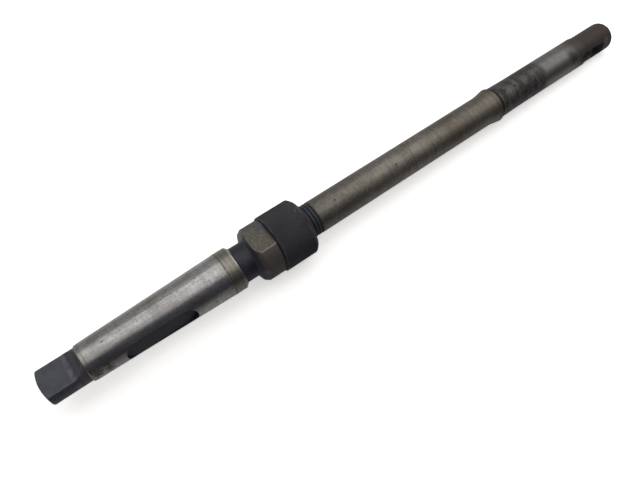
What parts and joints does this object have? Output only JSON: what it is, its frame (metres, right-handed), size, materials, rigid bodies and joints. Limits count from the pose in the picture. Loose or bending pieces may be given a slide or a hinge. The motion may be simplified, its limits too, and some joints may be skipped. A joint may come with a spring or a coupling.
{
  "type": "tool holder extension",
  "caption": "Long tool holder extension with a tapered driving shank, a knurled lock nut and a bar that ends in a slotted spigot.",
  "frame": {"origin": "on the tool's axis at the gauge plane, the large end of the shank's taper", "axes": "+X along the axis from the tang to the slotted nose, +Z square to the tang's flats, the nose slot runs along Y"},
  "size_m": [0.2923, 0.0242, 0.0242],
  "materials": {
    "ground_steel": "ground, with blackened tang, neck and pocket",
    "blackened_steel": "knurled and blackened",
    "turned_steel": "turned, with a brown-grey patina"
  },
  "bodies": {
    "holder": {"taper_shank": "ground_steel", "extension_bar": "turned_steel"},
    "lock_nut": {"lock_nut": "blackened_steel"}
  },
  "joints": [
    {"name": "lock_nut_turn", "type": "hinge", "parent": "holder", "child": "lock_nut", "pos_m": [0.0285, 0, 0], "axis": [1, 0, 0], "range_deg": [0, 1440]}
  ]
}
